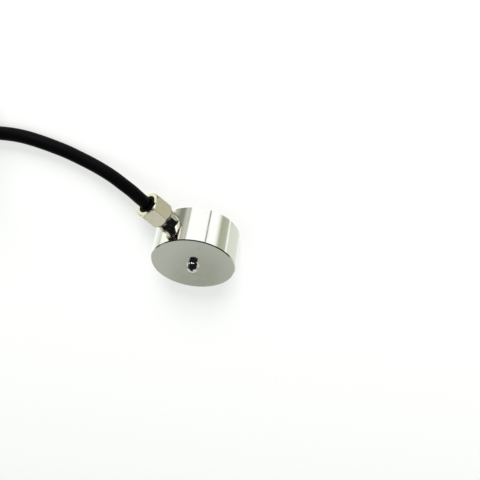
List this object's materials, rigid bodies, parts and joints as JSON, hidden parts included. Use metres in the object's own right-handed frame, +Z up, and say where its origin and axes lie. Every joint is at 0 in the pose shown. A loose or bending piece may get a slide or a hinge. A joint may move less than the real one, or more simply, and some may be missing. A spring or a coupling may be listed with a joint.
{
  "type": "button load cell",
  "caption": "Squat round force sensor with a small domed load button on its face, a hexagonal cable gland at its side and a coiled thin cable.",
  "frame": {"origin": "centre of the body's base, in the plane that it stands on", "axes": "+Z up along the body's axis towards the load button, +X along the cable gland's axis away from the body, +Y completes the right-handed frame"},
  "size_m": [0.1167, 0.0406, 0.0182],
  "materials": {
    "polished_steel": "polished",
    "cover_steel": "brushed",
    "gland_metal": "bright turned, faintly warm",
    "gauge_film": "satin",
    "enamelled_copper": "gloss",
    "circuit_board": "satin",
    "resistor_black": "satin",
    "solder": "bright",
    "insulation_red": "satin",
    "insulation_black": "satin",
    "insulation_green": "satin",
    "insulation_white": "satin",
    "tinned_copper": "bright",
    "silicone": "satin",
    "seal_rubber": "matte",
    "cable_jacket": "satin",
    "tie_nylon": "satin",
    "shrink_sleeve": "satin"
  },
  "bodies": {
    "root": {"cell_body": "polished_steel", "base_cover": "cover_steel", "gauge_1": "gauge_film", "gauge_2": "gauge_film", "gauge_3": "gauge_film", "gauge_4": "gauge_film", "gauge_wires": "enamelled_copper", "terminal_ring": "circuit_board", "zero_resistor": "resistor_black", "span_resistor": "resistor_black", "thermal_resistor": "resistor_black", "solder_joints": "solder", "core_red": "insulation_red", "core_black": "insulation_black", "core_green": "insulation_green", "core_white": "insulation_white", "drain_wire": "tinned_copper", "potting": "silicone", "gland_nipple": "gland_metal", "gland_nut": "gland_metal", "gland_seal": "seal_rubber", "gland_washer": "cover_steel", "jacket_end": "cable_jacket", "cable": "cable_jacket", "cable_coil": "cable_jacket", "coil_tie_1": "tie_nylon", "coil_tie_2": "tie_nylon", "cable_tail": "cable_jacket", "end_sleeve": "shrink_sleeve", "free_red": "insulation_red", "free_black": "insulation_black", "free_green": "insulation_green", "free_white": "insulation_white", "free_drain": "tinned_copper", "tinned_ends": "solder"}
  },
  "joints": []
}
